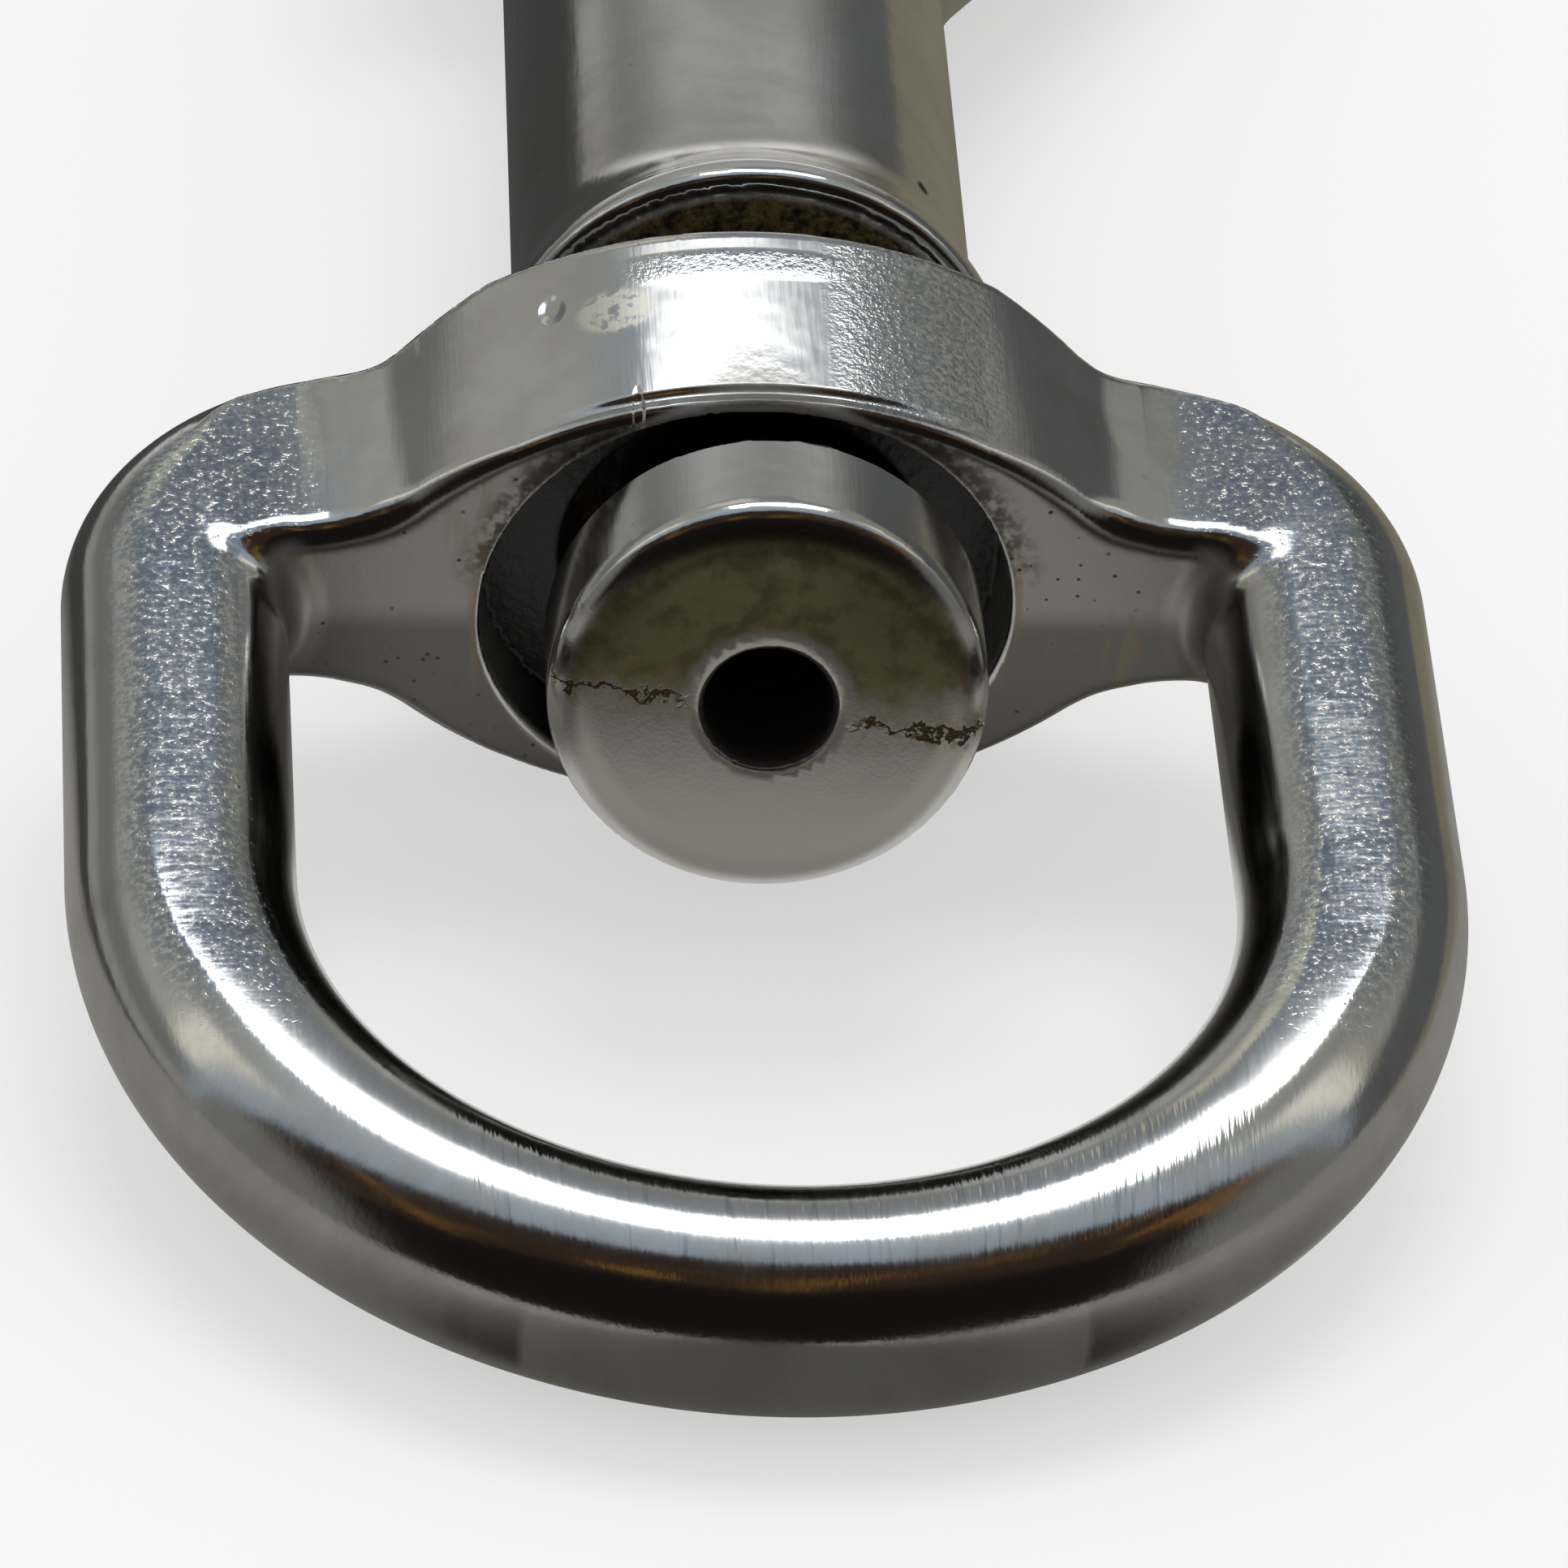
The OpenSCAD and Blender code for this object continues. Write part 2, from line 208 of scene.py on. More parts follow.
def skin(name, field, low, high, step, place):
    """Nets the zero surface of a field with quads and pulls each corner onto it."""
    counts = np.ceil((np.array(high) - low) / step).astype(int) + 1
    axes = [low[i] + step * np.arange(counts[i]) for i in range(3)]
    values = np.empty(counts, np.float32)
    for i, x in enumerate(axes[0]):
        y, z = np.meshgrid(axes[1], axes[2], indexing="ij")
        points = np.column_stack([np.full(y.size, x), y.ravel(), z.ravel()])
        values[i] = field(points).reshape(y.shape)
    inside = values < 0
    corners = [(a, b, c) for a in (0, 1) for b in (0, 1) for c in (0, 1)]
    cells = counts - 1
    window = [inside[a:a + cells[0], b:b + cells[1], c:c + cells[2]] for a, b, c in corners]
    held = sum(w.astype(np.int8) for w in window)
    crossed = (held > 0) & (held < 8)
    index = np.full(cells, -1)
    index[crossed] = np.arange(crossed.sum())
    where = np.argwhere(crossed)
    total = np.zeros((len(where), 3))
    number = np.zeros(len(where))
    for a in corners:
        for axis in range(3):
            if a[axis]:
                continue
            b = list(a)
            b[axis] = 1
            va = values[tuple((where + a).T)]
            vb = values[tuple((where + b).T)]
            cross = (va < 0) != (vb < 0)
            share = np.where(cross, va / np.where(cross, va - vb, 1), 0)
            point = where + np.array(a, float)
            point[:, axis] += share
            total += np.where(cross[:, None], point, 0)
            number += cross
    points = np.array(low) + step * total / number[:, None]
    faces = []
    for axis in range(3):
        first = [slice(0, -1) if i == axis else slice(1, -1) for i in range(3)]
        second = [slice(1, None) if i == axis else slice(1, -1) for i in range(3)]
        a, b = inside[tuple(first)], inside[tuple(second)]
        base = np.argwhere(a != b)
        leaving = a[tuple(base.T)]
        base = base + [0 if i == axis else 1 for i in range(3)]
        u, v = [i for i in range(3) if i != axis]
        if axis == 1:
            u, v = v, u
        around = []
        for du, dv in ((1, 1), (0, 1), (0, 0), (1, 0)):
            cell = base.copy()
            cell[:, u] -= du
            cell[:, v] -= dv
            around.append(index[tuple(cell.T)])
        quads = np.stack(around, axis=1)
        quads[~leaving] = quads[~leaving][:, ::-1]
        faces.append(quads)
    faces = np.concatenate(faces)
    edges = np.concatenate([faces[:, [i, (i + 1) % 4]] for i in range(4)])
    degree = np.bincount(edges[:, 0], minlength=len(points))[:, None]
    for relax in range(4):
        if relax:
            mean = np.stack([
                np.bincount(edges[:, 0], weights=points[edges[:, 1], i], minlength=len(points))
                for i in range(3)
            ], axis=1) / degree
            points = points + 0.5 * (mean - points)
        for pull in range(2):
            slope = gradient(field, points)
            size = np.maximum((slope**2).sum(axis=1, keepdims=True), 0.05)
            move = slope * field(points)[:, None] / size
            length = np.linalg.norm(move, axis=1, keepdims=True)
            points = points - move * np.minimum(1, 0.5 * step / np.maximum(length, 1e-9))
    normals = gradient(field, points) @ np.array(place.to_3x3()).T
    points = points * MM @ np.array(place.to_3x3()).T + np.array(place.translation)
    mesh = bpy.data.meshes.new(name)
    mesh.vertices.add(len(points))
    mesh.vertices.foreach_set("co", points.ravel())
    mesh.loops.add(faces.size)
    mesh.loops.foreach_set("vertex_index", faces.ravel())
    mesh.polygons.add(len(faces))
    mesh.polygons.foreach_set("loop_start", np.arange(0, faces.size, 4))
    mesh.polygons.foreach_set("use_smooth", np.ones(len(faces), bool))
    mesh.update(calc_edges=True)
    mesh.validate()
    mesh.normals_split_custom_set_from_vertices(normals / np.linalg.norm(normals, axis=1)[:, None])
    piece = bpy.data.objects.new(name, mesh)
    bpy.context.scene.collection.objects.link(piece)
    print(name, len(faces), "quads")
    return piece


hook = skin(
    "hook_body_cast",
    body_field,
    (-7.6, -head_back - head_t - 0.5, -7.6),
    (arm_x + arm_d / 2 + 0.5, arch_y + arch_r + arm_d / 2 + 0.5, 7.6),
    0.27,
    body_place,
)


def node(tree, kind, settings=None, **inputs):
    """Adds a shader node. An input is a value, or the socket that feeds it."""
    made = tree.nodes.new("ShaderNode" + kind)
    for name, value in (settings or {}).items():
        setattr(made, name, value)
    for name, value in inputs.items():
        socket = made.inputs[int(name[1:])] if name[1:].isdigit() else made.inputs[name.replace("_", " ")]
        if isinstance(value, bpy.types.NodeSocket):
            tree.links.new(value, socket)
        else:
            socket.default_value = value
    return made


def calc(tree, operation, a, b=0.0, c=0.0):
    """Output of a Math node."""
    return node(tree, "Math", {"operation": operation}, i0=a, i1=b, i2=c).outputs[0]


def product(tree, *factors):
    """Product of several values."""
    total = factors[0]
    for factor in factors[1:]:
        total = calc(tree, "MULTIPLY", total, factor)
    return total


def rise(tree, value, low, high):
    """Smooth step from 0 at low to 1 at high, or from 1 to 0 where low is above high."""
    if low > high:
        return calc(tree, "SUBTRACT", 1.0, rise(tree, value, high, low))
    settings = {"interpolation_type": "SMOOTHSTEP"}
    return node(tree, "MapRange", settings, Value=value, From_Min=low, From_Max=high).outputs["Result"]


def noise(tree, place, scale, detail=2.0, rough=0.5, distort=0.0):
    """Smooth noise from 0 to 1, its scale in waves a millimetre."""
    made = node(tree, "TexNoise", Vector=place, Scale=scale, Detail=detail, Roughness=rough, Distortion=distort)
    return made.outputs["Fac"]


def blend(tree, share, first, second):
    """Mix of two colours."""
    settings = {"data_type": "RGBA"}
    made = node(tree, "Mix", settings, i0=share, i6=first, i7=second)
    return made.outputs[2]


def stretch(tree, place, x, y, z):
    """A place scaled along its three directions."""
    return node(tree, "VectorMath", {"operation": "MULTIPLY"}, i0=place, i1=(x, y, z)).outputs[0]


def split(tree, vector):
    """The three parts of a vector."""
    return node(tree, "SeparateXYZ", Vector=vector).outputs


def spot(tree, place, middle, size, edge=0.35):
    """1 within an oval of the given half sizes round its middle, 0 outside it."""
    off = node(tree, "VectorMath", {"operation": "SUBTRACT"}, i0=place, i1=middle).outputs[0]
    off = stretch(tree, off, *(1 / length for length in size))
    far = node(tree, "VectorMath", {"operation": "LENGTH"}, i0=off).outputs["Value"]
    return rise(tree, far, 1 + edge, 1 - edge)


def cast_plate_group():
    """Nickel on a casting: orange peel, faint scratches, pits and a thin warm tarnish."""
    tree = bpy.data.node_groups.new("cast_plate", "ShaderNodeTree")
    face = tree.interface
    for name, kind in (
        ("Place", "NodeSocketVector"), ("Clean", "NodeSocketColor"), ("Stain", "NodeSocketColor"),
        ("Stained", "NodeSocketFloat"), ("Gloss", "NodeSocketFloat"), ("Peel", "NodeSocketFloat"),
        ("Pitted", "NodeSocketFloat"),
    ):
        face.new_socket(name=name, in_out="INPUT", socket_type=kind)
    for name, kind in (("Colour", "NodeSocketColor"), ("Roughness", "NodeSocketFloat"), ("Height", "NodeSocketFloat")):
        face.new_socket(name=name, in_out="OUTPUT", socket_type=kind)
    given = tree.nodes.new("NodeGroupInput").outputs
    result = tree.nodes.new("NodeGroupOutput").inputs
    place = given["Place"]
    mottle = product(tree, noise(tree, place, 0.22, 5, 0.65, 0.4), 1.25)
    stained = product(tree, rise(tree, mottle, 0.5, 0.85), given["Stained"])
    scratch = noise(tree, stretch(tree, place, 9, 0.5, 9), 1.0, 1, 0.6)
    cells = node(tree, "TexVoronoi", {"feature": "F1"}, Vector=place, Scale=1.3, Randomness=1.0)
    chance = node(tree, "TexWhiteNoise", {"noise_dimensions": "3D"}, Vector=cells.outputs["Position"]).outputs["Value"]
    size = product(tree, rise(tree, chance, 0.9, 1.0), 0.12)
    pit = rise(tree, calc(tree, "SUBTRACT", cells.outputs["Distance"], size), 0.06, 0.0)
    pit = product(tree, pit, rise(tree, chance, 0.9, 0.93), given["Pitted"])
    colour = blend(tree, stained, given["Clean"], given["Stain"])
    colour = blend(tree, product(tree, pit, 0.8), colour, (0.05, 0.04, 0.03, 1))
    tree.links.new(colour, result["Colour"])
    rough = calc(tree, "ADD", given["Gloss"], product(tree, stained, 0.12))
    rough = calc(tree, "ADD", rough, product(tree, calc(tree, "SUBTRACT", scratch, 0.5), 0.08))
    tree.links.new(calc(tree, "ADD", rough, product(tree, pit, 0.3)), result["Roughness"])
    peel = product(tree, noise(tree, place, 0.9, 1, 0.5), given["Peel"])
    line = product(tree, scratch, 0.002)
    tree.links.new(calc(tree, "ADD", peel, line), result["Height"])
    return tree


cast_plate = cast_plate_group()


class Metal:
    """A plated metal in the making: where a point lies in its piece in mm, and its finish there."""

    def __init__(self, name, place, clean, stain, stained, gloss, peel, pitted):
        self.material = bpy.data.materials.new(name)
        self.material.use_nodes = True
        self.tree = tree = self.material.node_tree
        self.shader = tree.nodes["Principled BSDF"]
        self.shader.inputs["Metallic"].default_value = 1
        turn = place.to_euler()
        found = node(tree, "TexCoord").outputs
        inverse = {"vector_type": "TEXTURE"}
        self.place = node(
            tree, "Mapping", inverse, Vector=found["Object"],
            Location=place.translation, Rotation=turn, Scale=(MM, MM, MM),
        ).outputs[0]
        facing = node(tree, "Mapping", inverse, Vector=found["Normal"], Rotation=turn).outputs[0]
        self.x, self.y, self.z = split(tree, self.place)
        self.nx, self.ny, self.nz = split(tree, facing)
        flat = stretch(tree, self.place, 1, 0, 1)
        self.across = node(tree, "VectorMath", {"operation": "LENGTH"}, i0=flat).outputs["Value"]
        plate = node(
            tree, "Group", {"node_tree": cast_plate}, Place=self.place, Clean=(*clean, 1),
            Stain=(*stain, 1), Stained=stained, Gloss=gloss, Peel=peel, Pitted=pitted,
        ).outputs
        self.colour, self.roughness, self.relief = plate["Colour"], plate["Roughness"], plate["Height"]
        self.bare = None

    def coat(self, share, colour=None, roughness=None, bare=None):
        """Lays another finish over this one where share is 1. Dirt and painted shade have bare 0: no metal shows."""
        tree = self.tree
        if colour is not None:
            over = colour if isinstance(colour, bpy.types.NodeSocket) else (*colour, 1)
            self.colour = blend(tree, share, self.colour, over)
        if roughness is not None:
            self.roughness = node(tree, "Mix", None, i0=share, i2=self.roughness, i3=roughness).outputs[0]
        if bare is not None:
            under = 1.0 if self.bare is None else self.bare
            self.bare = node(tree, "Mix", None, i0=share, i2=under, i3=bare).outputs[0]

    def raise_by(self, share, height):
        """Adds relief in mm where share is 1."""
        self.relief = calc(self.tree, "ADD", self.relief, product(self.tree, share, height))

    def done(self):
        """Feeds the finish to the shader and gives the material."""
        tree, inputs = self.tree, self.shader.inputs
        tree.links.new(self.colour, inputs["Base Color"])
        tree.links.new(self.roughness, inputs["Roughness"])
        if self.bare is not None:
            tree.links.new(self.bare, inputs["Metallic"])
        bump = node(tree, "Bump", Strength=1.0, Distance=MM, Height=self.relief)
        tree.links.new(bump.outputs[0], inputs["Normal"])
        return self.material


nickel = (0.52, 0.515, 0.5)
tarnish = (0.36, 0.34, 0.28)
# Near-black brown: painted shade in the gap and the recess, and an oily stain on the spring.
shade_and_oil_brown = (0.009, 0.006, 0.004)
gold_brown = (0.17, 0.115, 0.04)
barrel_place = Matrix.Translation(hub_centre) @ Matrix.Rotation(-nose_down, 4, "X")
face_y = -head_back - head_t


def body_plating():
    """Plated barrel, with painted shade and brown stains on the neck and in the gap, painted shade in the stud's bore,
    and a stained face on the stud.
    """
    metal = Metal("body_nickel", barrel_place, nickel, tarnish, 0.5, 0.12, 0.006, 0.5)
    tree, place, x, y, z, across = metal.tree, metal.place, metal.x, metal.y, metal.z, metal.across
    cloud = noise(tree, place, 0.8, 3, 0.6)
    grain = noise(tree, place, 3.0, 2, 0.7)
    facing_eye = calc(tree, "MULTIPLY", metal.ny, -1.0)

    face = product(tree, rise(tree, facing_eye, 0.8, 0.95), rise(tree, y, face_y + 0.7, face_y + 0.3))
    metal.coat(face, (0.26, 0.25, 0.215), 0.24)
    upper = rise(tree, calc(tree, "ADD", z, product(tree, cloud, 2.2)), 0.9, 2.0)
    olive = product(tree, face, upper, rise(tree, across, stud_hole_d / 2 + 0.35, stud_hole_d / 2 + 0.75))
    metal.coat(product(tree, olive, 0.85), (0.15, 0.12, 0.055), 0.3)
    smear = product(tree, olive, rise(tree, noise(tree, place, 1.1, 3, 0.65), 0.42, 0.66))
    metal.coat(product(tree, smear, 0.6), (0.06, 0.045, 0.02), 0.4)
    wander = product(tree, calc(tree, "SUBTRACT", noise(tree, place, 1.6, 3, 0.7), 0.5), 1.6)
    tilt = calc(tree, "MULTIPLY", x, -0.13)
    seam = calc(tree, "ABSOLUTE", calc(tree, "ADD", calc(tree, "SUBTRACT", z, tilt), calc(tree, "ADD", wander, 0.1)))
    seam_band = product(tree, rise(tree, facing_eye, 0.3, 0.6), rise(tree, across, 1.9, 2.5), rise(tree, y, face_y + 1.6, face_y + 0.9))
    crack = product(tree, seam_band, rise(tree, seam, 0.11, 0.03))
    rust = product(tree, seam_band, rise(tree, seam, 0.75, 0.1), rise(tree, grain, 0.47, 0.6))
    metal.coat(product(tree, rust, 0.6), (0.2, 0.13, 0.06), 0.35)
    metal.coat(crack, (0.06, 0.035, 0.015), 0.5)
    metal.raise_by(crack, -0.05)

    # Neck and gap: painted shade, near black and dull, with brown stains on the collar's face.
    neck = product(tree, rise(tree, y, -head_back - 0.1, -head_back + 0.25), rise(tree, y, collar_gap + 0.5, collar_gap), rise(tree, across, 6.35, 6.0))
    gold = product(tree, rise(tree, across, 4.4, 5.4), rise(tree, grain, 0.3, 0.75))
    shade_and_grime = blend(tree, gold, (*shade_and_oil_brown, 1), (*gold_brown, 1))
    metal.coat(neck, shade_and_grime, 0.5, 0.4)
    metal.raise_by(neck, product(tree, grain, 0.12))
    # Painted shade: the stud's bore is coloured near black, dull and not metal.
    bore = rise(tree, across, stud_hole_d / 2 + 0.16, stud_hole_d / 2 + 0.1)
    bore = product(tree, bore, rise(tree, y, bore_floor, bore_floor - 1))
    metal.coat(bore, (0.012, 0.009, 0.007), 0.7, 0.0)
    pit = spot(tree, place, (4.43, 7.34, 3.98), (0.16, 0.2, 0.3))
    metal.coat(pit, (0.03, 0.025, 0.02), 0.5)
    metal.raise_by(pit, -0.06)
    return metal.done()


hook.data.materials.append(body_plating())
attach(hook, "body")
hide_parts("hook_body")

# Swivel eye: a D-shaped ring and its hub, cast as one piece of zinc and plated with nickel.
# The stud was pushed through the hub's loose bore and headed over in the recess, so the
# eye turns and tilts a little on the neck.
eye_w = 28.4
eye_l = 30.1
bar_w = 5.6
bar_t = 5.2
shoulder_r = 5
shoulder_drop = 1.1
eye_play = 1.1
eye_side = 0.5
eye_yaw = math.radians(1.9)
hub_h = 13.9
hub_crown_r = 12.4
hub_hollow_r = 4
hub_back = 0.8
hub_back_w = 6.4
hub_fall = 1.9
hub_front = 6.1
front_draft = math.radians(3)
crown_draft = math.radians(3)
back_round = 0.35
worn_flat = 0.07
recess_d = 13.2
recess_h = 12.5
recess_deep = 2.5
edge_round = 0.4
side_round = 0.45
shoulder_tilt = 0.035
bar_fillet = 1.0

bow_r = eye_w / 2
bow_y = eye_l - bow_r
shoulder_x = bow_r - shoulder_r
shoulder_y = shoulder_drop + shoulder_r
hub_end = bow_r - bar_w / 4
crown_z = hub_crown_r - hub_h / 2
hollow_z = bar_t / 2 + hub_hollow_r
hollow_x = math.sqrt((hub_crown_r + hub_hollow_r) ** 2 - (hollow_z + crown_z) ** 2)
front_edge = hub_front - hub_h / 2 * math.tan(front_draft)
bow_far = bow_r + bow_y * math.cos(eye_yaw)
edge_run = bow_far - front_edge * math.cos(eye_yaw)
eye_lie = math.atan2(hub_h / 2, edge_run) - math.asin(bar_t / 2 / math.hypot(hub_h / 2, edge_run))
eye_place = (
    Matrix.Translation(hub_centre + Vector((-eye_side * MM, 0, 0)))
    @ Matrix.Rotation(eye_lie, 4, "X")
    @ Matrix.Rotation(eye_yaw, 4, "Z")
)


def ring_field(x, y, z):
    """The D-shaped ring: an oval bar round the bow, up the legs and over the shoulders."""
    x = np.abs(x)
    bow = np.hypot(x, y + bow_y) - bow_r
    leg = x - bow_r
    shoulder = np.hypot(x - shoulder_x, y + shoulder_y) - shoulder_r
    top = y + shoulder_drop
    inner = (x < shoulder_x) & (y > -shoulder_y)
    line = np.where(y < -bow_y, bow, np.where(y < -shoulder_y, leg, shoulder))
    line = np.where(inner, np.hypot(top, np.maximum(shoulder_x - x, 0)), line)
    oval = np.sqrt((line / (bar_w / 2)) ** 2 + (z / (bar_t / 2)) ** 2)
    worn = z - (bar_t / 2 - worn_flat + 0.04 * np.maximum(-y - bow_y - 4, 0))
    return meet_round((oval - 1) * bar_t / 2, worn, 0.1)


def hub_field(x, y, z):
    """The hub: crowned above and below, flat in front with a ridge along its middle."""
    x, z = np.abs(x), np.abs(z)
    crown = np.hypot(x, z + crown_z) - hub_crown_r
    hollow = hub_hollow_r - np.hypot(x - hollow_x, z - hollow_z)
    flat = z - bar_t / 2
    across = x * (hollow_z + crown_z) - (z + crown_z) * hollow_x
    outline = np.where(across < 0, crown, np.where(x < hollow_x, hollow, flat))
    drafted = np.clip((hub_end - 3 - x) / 4, 0, 1) * math.tan(crown_draft)
    outline = outline - (np.minimum(y, hub_back) - hub_back) * drafted
    front = (-y - hub_front + z * math.tan(front_draft)) * math.cos(front_draft)
    slope = hub_fall / (hub_end - hub_back_w)
    back = y - hub_back + np.maximum(x - hub_back_w, 0) * slope
    body = meet_round(outline, front, edge_round + side_round * np.clip((x - 6) / 3, 0, 1))
    body = meet_round(body, back / math.hypot(1, slope), back_round)
    return meet_round(body, x - hub_end, edge_round)


def eye_field(p):
    """Signed distance in mm to the swivel eye, in its own frame."""
    x, y, z = p.T
    whole = join_round(ring_field(x, y, z), hub_field(x, y, z), bar_fillet)
    side = np.abs(x)
    inward = np.clip(hollow_x - side, 0, 3)
    hollow = hub_hollow_r - np.sqrt(hub_hollow_r ** 2 - inward ** 2)
    tilted = shoulder_tilt * np.clip(y + 7, 0, 9) * np.clip(side - hollow_x + 1, 0, 1)
    level = z - bar_t / 2 - hollow + tilted - 30 * np.maximum(hollow_x - 3 - side, 0)
    whole = meet_round(whole, level, 0.1)
    across = np.hypot(x, z)
    before = -y - hub_front - run_on
    wide = np.hypot(np.maximum(np.abs(x) - (recess_d - recess_h) / 2, 0), z)
    recess = np.maximum(np.maximum(wide - recess_h / 2, before), y + hub_front - recess_deep)
    bore = np.maximum(across - neck_d / 2 - eye_play, before)
    whole = cut_round_off(whole, recess, 0.25)
    return cut_round_off(whole, bore, 0.25)


eye = skin(
    "swivel_eye_cast",
    eye_field,
    (-bow_r - bar_w / 2 - 0.5, -eye_l - bar_w / 2 - 0.5, -hub_h / 2 - 0.5),
    (bow_r + bar_w / 2 + 0.5, shoulder_r - shoulder_drop + 0.5, hub_h / 2 + 0.5),
    0.19,
    eye_place,
)


def eye_plating():
    """Plated ring and hub: hammered legs, a filed bow, dull faces in front darkened as painted shade, most towards the
    bottom, and a recess of painted shade with grime.
    """
    metal = Metal("eye_nickel", eye_place, nickel, tarnish, 0.5, 0.12, 0.005, 0.25)
    tree, place, x, y, z, across = metal.tree, metal.place, metal.x, metal.y, metal.z, metal.across
    side = calc(tree, "ABSOLUTE", x)
    ahead = calc(tree, "MULTIPLY", y, -1.0)
    top = rise(tree, metal.nz, 0.78, 0.95)
    upward = rise(tree, metal.nz, 0.4, 0.7)
    grain = noise(tree, place, 2.6, 2, 0.65)
    cloud = noise(tree, place, 0.7, 2, 0.6)

    legs = product(tree, top, rise(tree, side, 10.0, 12.2), rise(tree, ahead, 25.0, 20.0))
    ripple = noise(tree, stretch(tree, place, 0.55, 2.3, 1), 1.0, 2, 0.6)
    dents = noise(tree, place, 5.5, 2, 0.7)
    dabs = rise(tree, dents, 0.6, 0.78)
    metal.raise_by(legs, calc(tree, "ADD", product(tree, ripple, 0.009), product(tree, dabs, 0.013)))
    dented = product(tree, rise(tree, x, 1.6, 2.8), rise(tree, x, 7.0, 5.0), rise(tree, ahead, 6.0, 5.0), top)
    rear = product(tree, rise(tree, ahead, 1.2, 0.7), rise(tree, ahead, 0.0, 0.3), rise(tree, x, -3.4, -2.2), rise(tree, x, 6.5, 4.5), top)
    etched = calc(tree, "MAXIMUM", dented, rear)
    metal.raise_by(etched, product(tree, dents, 0.024))
    metal.coat(product(tree, etched, rise(tree, dents, 0.3, 0.65)), (0.25, 0.27, 0.285), 0.2)
    metal.coat(product(tree, legs, rise(tree, dents, 0.62, 0.4)), (0.25, 0.28, 0.315))

    filed = product(tree, top, rise(tree, ahead, 25.6, 26.6), rise(tree, x, -8.4, -7.8), rise(tree, x, 11.3, 10.6))
    file_line = noise(tree, stretch(tree, place, 5.5, 0.35, 0.25), 1.0, 2, 0.6)
    metal.raise_by(filed, product(tree, calc(tree, "SUBTRACT", file_line, 0.5), 0.02))
    metal.coat(product(tree, filed, rise(tree, file_line, 0.55, 0.68), 0.6), (0.3, 0.31, 0.32), 0.15)

    lip = product(tree, rise(tree, y, -4.9, -5.3), rise(tree, y, -5.5, -5.3), rise(tree, side, 6.0, 2.6), upward)
    metal.raise_by(lip, -0.17)

    dimple = spot(tree, place, (-4.9, -1.23, 5.94), (0.28, 0.42, 0.4), 0.5)
    metal.raise_by(dimple, -0.07)
    worn = product(tree, spot(tree, place, (-3.43, -1.84, 6.46), (0.95, 0.75, 1.2), 0.18), rise(tree, grain, 0.35, 0.5))
    metal.coat(worn, (0.55, 0.53, 0.46), 0.3)
    nick = spot(tree, place, (-2.95, -5.6, 6.7), (0.14, 0.75, 1.5))
    metal.raise_by(nick, -0.06)

    # Front faces: dull as-cast nickel, darkened further as painted shade.
    face = product(tree, rise(tree, metal.ny, -0.8, -0.95), rise(tree, side, 12.4, 11.8), rise(tree, across, 6.5, 6.8))
    metal.coat(face, (0.2, 0.193, 0.172), 0.28)
    # Painted shade: the front faces darker towards the bottom.
    metal.coat(product(tree, face, rise(tree, z, 0.5, -0.6)), (0.11, 0.104, 0.097), 0.28)
    stain = product(tree, face, rise(tree, across, 7.7, 6.9), rise(tree, z, 0.6, 2.0), rise(tree, grain, 0.35, 0.6))
    metal.coat(product(tree, stain, 0.8), (0.05, 0.04, 0.025), 0.45)
    drip = product(tree, face, rise(tree, noise(tree, stretch(tree, place, 1.3, 0.2, 0.16), 1.0, 2, 0.5, 0.3), 0.58, 0.7))
    metal.coat(product(tree, drip, 0.5), (0.17, 0.13, 0.07), 0.35)
    dots = node(tree, "TexVoronoi", {"feature": "F1"}, Vector=place, Scale=2.2, Randomness=1.0).outputs["Distance"]
    dots = product(tree, face, rise(tree, dots, 0.17, 0.1), rise(tree, cloud, 0.42, 0.55))
    metal.coat(dots, (0.06, 0.05, 0.04), 0.5)
    metal.raise_by(face, product(tree, grain, 0.004))

    # The recess: painted shade, near black and hardly metal, with gold-brown grime specks on its upper wall.
    inside = product(tree, rise(tree, across, 6.75, 6.5), rise(tree, ahead, hub_front - 0.1, hub_front - 0.6))
    upper = product(tree, rise(tree, metal.nz, -0.25, -0.7), rise(tree, across, 5.6, 6.2), rise(tree, grain, 0.36, 0.56))
    shade_and_grime = blend(tree, upper, (*shade_and_oil_brown, 1), (0.5, 0.36, 0.14, 1))
    metal.coat(inside, shade_and_grime, 0.5, 0.1)
    metal.raise_by(inside, product(tree, grain, 0.05))
    corner = product(tree, spot(tree, node(tree, "CombineXYZ", X=side, Y=y, Z=z).outputs[0], (11.6, -6.4, 0), (0.7, 0.9, 3.0), 0.4), rise(tree, metal.nz, 0.75, 0.4))
    metal.coat(product(tree, corner, 0.8), (0.07, 0.05, 0.03), 0.45, 0.5)
    return metal.done()


eye.data.materials.append(eye_plating())
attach(eye, "eye")
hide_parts("swivel_eye")

# Bolt: a turned steel pin that slides in the barrel and shuts the hook against the seat in
# its nose. It is plated thinly, and shows lathe rings and the shine of long rubbing.
steel = (0.5, 0.5, 0.495)


def refinish(name, material):
    """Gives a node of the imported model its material."""
    for slot in frame["nodes"][name].material_slots:
        slot.material = material


def bolt_steel():
    metal = Metal("bolt_turned", body_place, steel, tarnish, 0.35, 0.2, 0.002, 0.3)
    tree = metal.tree
    rings = noise(tree, stretch(tree, metal.place, 0.05, 7, 0.05), 1.0, 3, 0.6)
    metal.raise_by(1.0, product(tree, rings, 0.006))
    return metal.done()


refinish("bolt", bolt_steel())

# Spring: drawn steel wire, wound into a compression spring that sits behind the bolt in the
# bore. It stays dark and a little oily, with scratches along the wire.
wire_grey = (0.3, 0.295, 0.29)


def spring_steel():
    metal = Metal("spring_wire", body_place, wire_grey, shade_and_oil_brown, 0.6, 0.32, 0.003, 0.2)
    return metal.done()


refinish("spring", spring_steel())
